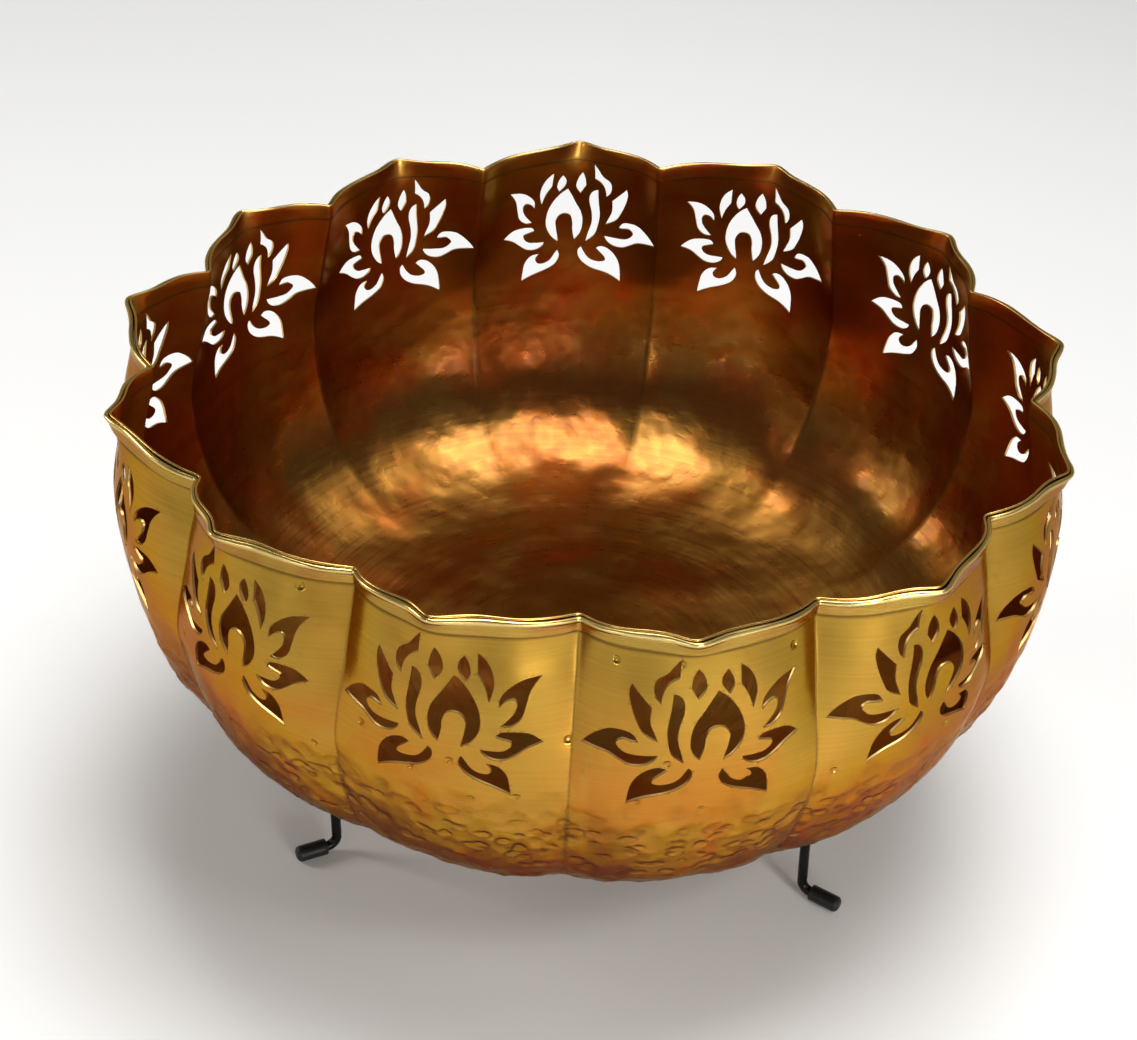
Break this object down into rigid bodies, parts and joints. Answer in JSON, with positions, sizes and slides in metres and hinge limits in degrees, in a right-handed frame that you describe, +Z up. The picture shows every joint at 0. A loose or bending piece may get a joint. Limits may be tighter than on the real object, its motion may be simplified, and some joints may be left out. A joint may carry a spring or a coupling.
{
  "type": "urli bowl on a stand",
  "caption": "Round brass urli bowl with scalloped, creased walls pierced with lotus flowers and a banded rim, standing on a low black iron tripod with rubber feet.",
  "frame": {"origin": "on the floor below the middle of the bowl", "axes": "+Z up, -Y the front"},
  "size_m": [0.4602, 0.4524, 0.2769],
  "materials": {
    "brass": "aged brass, brushed above and hammered below",
    "rim_brass": "polished brass strip",
    "black_iron": "black painted iron rod, satin",
    "black_rubber": "black rubber, semi-matte"
  },
  "bodies": {
    "stand": {"stand_ring": "black_iron", "stand_leg_back": "black_iron", "stand_leg_left": "black_iron", "stand_leg_right": "black_iron", "foot_sleeve_back": "black_rubber", "foot_sleeve_left": "black_rubber", "foot_sleeve_right": "black_rubber"},
    "bowl": {"bowl_shell": "brass", "rim_band": "rim_brass"}
  },
  "joints": [
    {"name": "bowl_lift", "type": "slide", "parent": "stand", "child": "bowl", "axis": [0, 0, 1], "range_m": [0, 0.12]}
  ]
}
